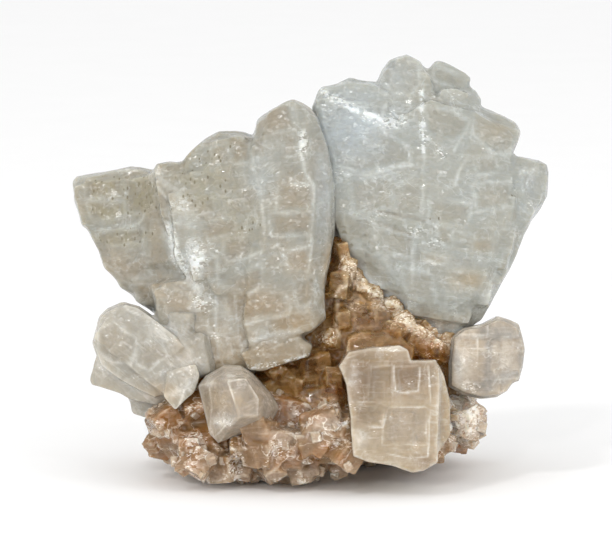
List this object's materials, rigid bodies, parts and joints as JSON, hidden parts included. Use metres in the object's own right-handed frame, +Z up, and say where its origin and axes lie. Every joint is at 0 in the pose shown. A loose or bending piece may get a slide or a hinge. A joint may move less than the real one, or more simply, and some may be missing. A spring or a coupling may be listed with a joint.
{
  "type": "halite cubic crystal cluster",
  "caption": "Halite crystal cluster: milky stepped spires and clear cubes, grown together on a brown-stained crust of small salt cubes.",
  "frame": {"origin": "middle of the bounding box in X and Y, on the flat underside that it rests on", "axes": "+X to the viewer's right across the spires, +Y away from the viewer, +Z up"},
  "size_m": [0.1194, 0.0709, 0.1044],
  "materials": {
    "halite": "milky, glassy crystal faces",
    "halite_stained": "brown-stained, sparkling small crystals"
  },
  "bodies": {
    "root": {"halite_cluster": "halite"}
  },
  "joints": []
}
